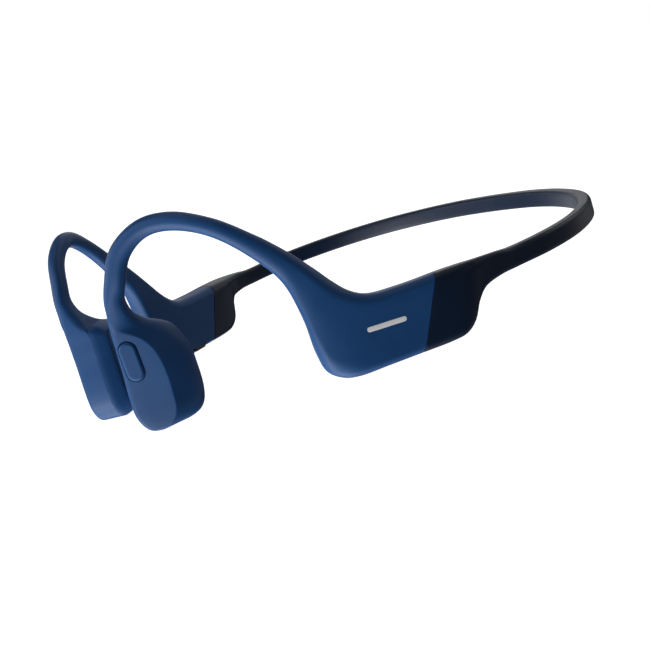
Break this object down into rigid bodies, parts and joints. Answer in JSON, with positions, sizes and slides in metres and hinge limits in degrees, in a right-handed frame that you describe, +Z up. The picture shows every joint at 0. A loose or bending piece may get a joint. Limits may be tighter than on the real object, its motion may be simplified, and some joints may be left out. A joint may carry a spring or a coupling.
{
  "type": "bone conduction headphones",
  "caption": "Open-ear headset with a flexible neckband behind the head, ear hooks, electronics pods and bone conduction transducers.",
  "frame": {"origin": "on the surface it stands on, midway across and midway from front to back", "axes": "+Z up, the wearer faces -Y, +X is the wearer's left"},
  "size_m": [0.1238, 0.132, 0.0456],
  "materials": {
    "black_silicone": "matte soft-touch silicone",
    "titanium": "drawn wire",
    "cable_jacket": "matte",
    "seal_rubber": "matte",
    "blue_soft_touch": "matte soft-touch coating",
    "battery_foil": "satin foil pouch",
    "circuit_board": "solder mask",
    "blue_silicone": "matte soft-touch silicone",
    "soft_iron": "zinc plated",
    "magnet_plating": "nickel plated",
    "spring_steel": "satin",
    "copper_wire": "enamelled wire",
    "switch_plastic": "matte",
    "metal_can": "satin",
    "flex_film": "satin film",
    "ceramic_white": "satin",
    "black_plastic": "matte",
    "clear_plastic": "frosted",
    "gold_contact": "polished"
  },
  "bodies": {
    "neckband": {"neckband_cover": "black_silicone", "neckband_wire": "titanium", "neckband_cable": "cable_jacket"},
    "left_side": {"left_rear_cover": "black_silicone", "left_pod_seal": "seal_rubber", "left_pod_housing": "blue_soft_touch", "left_hook_cover": "blue_silicone", "left_hook_wire": "titanium", "left_hook_cable": "cable_jacket", "left_battery_cell": "battery_foil", "left_protection_board": "circuit_board"},
    "left_front": {"left_front_housing": "blue_soft_touch", "left_front_cover": "blue_soft_touch", "left_driver_yoke": "soft_iron", "left_driver_magnet": "magnet_plating", "left_driver_top_plate": "soft_iron", "left_driver_spring": "spring_steel", "left_microphone": "metal_can", "multifunction_switch": "switch_plastic", "multifunction_flex_board": "flex_film"},
    "left_driver": {"left_voice_coil": "copper_wire", "left_coil_carrier": "switch_plastic", "left_contact_pad": "blue_silicone"},
    "right_side": {"right_rear_cover": "black_silicone", "right_pod_seal": "seal_rubber", "right_pod_housing": "blue_soft_touch", "right_hook_cover": "blue_silicone", "right_hook_wire": "titanium", "right_hook_cable": "cable_jacket", "right_main_board": "circuit_board", "right_wireless_module": "metal_can", "right_antenna": "ceramic_white", "volume_switches": "switch_plastic", "status_light": "clear_plastic", "charging_seat": "black_plastic", "charging_pins": "gold_contact", "charging_magnets": "magnet_plating"},
    "right_front": {"right_front_housing": "blue_soft_touch", "right_front_cover": "blue_soft_touch", "right_driver_yoke": "soft_iron", "right_driver_magnet": "magnet_plating", "right_driver_top_plate": "soft_iron", "right_driver_spring": "spring_steel", "right_microphone": "metal_can"},
    "right_driver": {"right_voice_coil": "copper_wire", "right_coil_carrier": "switch_plastic", "right_contact_pad": "blue_silicone"},
    "multifunction_button": {"multifunction_button": "blue_soft_touch"},
    "volume_up_button": {"volume_up_button": "black_plastic"},
    "volume_down_button": {"volume_down_button": "black_plastic"}
  },
  "joints": [
    {"name": "left_flex", "type": "hinge", "parent": "neckband", "child": "left_side", "pos_m": [0.032, 0.0596, 0.012], "axis": [0, 0, 1], "range_deg": [-1.5, 24], "stiffness_Nm_per_rad": 0.35, "deforming": ["neckband_cover", "neckband_wire", "neckband_cable"]},
    {"name": "left_hook_flex", "type": "hinge", "parent": "left_side", "child": "left_front", "pos_m": [0.0415, -0.0374, 0.028], "axis": [0, 0, 1], "range_deg": [-3, 5], "stiffness_Nm_per_rad": 0.25, "deforming": ["left_hook_cover", "left_hook_wire", "left_hook_cable"]},
    {"name": "left_driver_slide", "type": "slide", "parent": "left_front", "child": "left_driver", "axis": [0.788, -0.6157, 0], "range_m": [-0.00015, 0.00015], "stiffness_N_per_m": 1500},
    {"name": "right_flex", "type": "hinge", "parent": "neckband", "child": "right_side", "pos_m": [-0.032, 0.0596, 0.012], "axis": [0, 0, -1], "range_deg": [-1.5, 24], "stiffness_Nm_per_rad": 0.35, "deforming": ["neckband_cover", "neckband_wire", "neckband_cable"]},
    {"name": "right_hook_flex", "type": "hinge", "parent": "right_side", "child": "right_front", "pos_m": [-0.0415, -0.0374, 0.028], "axis": [0, 0, -1], "range_deg": [-3, 5], "stiffness_Nm_per_rad": 0.25, "deforming": ["right_hook_cover", "right_hook_wire", "right_hook_cable"]},
    {"name": "right_driver_slide", "type": "slide", "parent": "right_front", "child": "right_driver", "axis": [-0.788, -0.6157, 0], "range_m": [-0.00015, 0.00015], "stiffness_N_per_m": 1500},
    {"name": "multifunction_press", "type": "slide", "parent": "left_front", "child": "multifunction_button", "axis": [-0.788, 0.6157, 0], "range_m": [0, 0.0004], "stiffness_N_per_m": 3000, "springref_m": -0.0002},
    {"name": "volume_up_press", "type": "slide", "parent": "right_side", "child": "volume_up_button", "axis": [0, 0, 1], "range_m": [0, 0.0003], "stiffness_N_per_m": 4000, "springref_m": -0.0002},
    {"name": "volume_down_press", "type": "slide", "parent": "right_side", "child": "volume_down_button", "axis": [0, 0, 1], "range_m": [0, 0.0003], "stiffness_N_per_m": 4000, "springref_m": -0.0002}
  ]
}
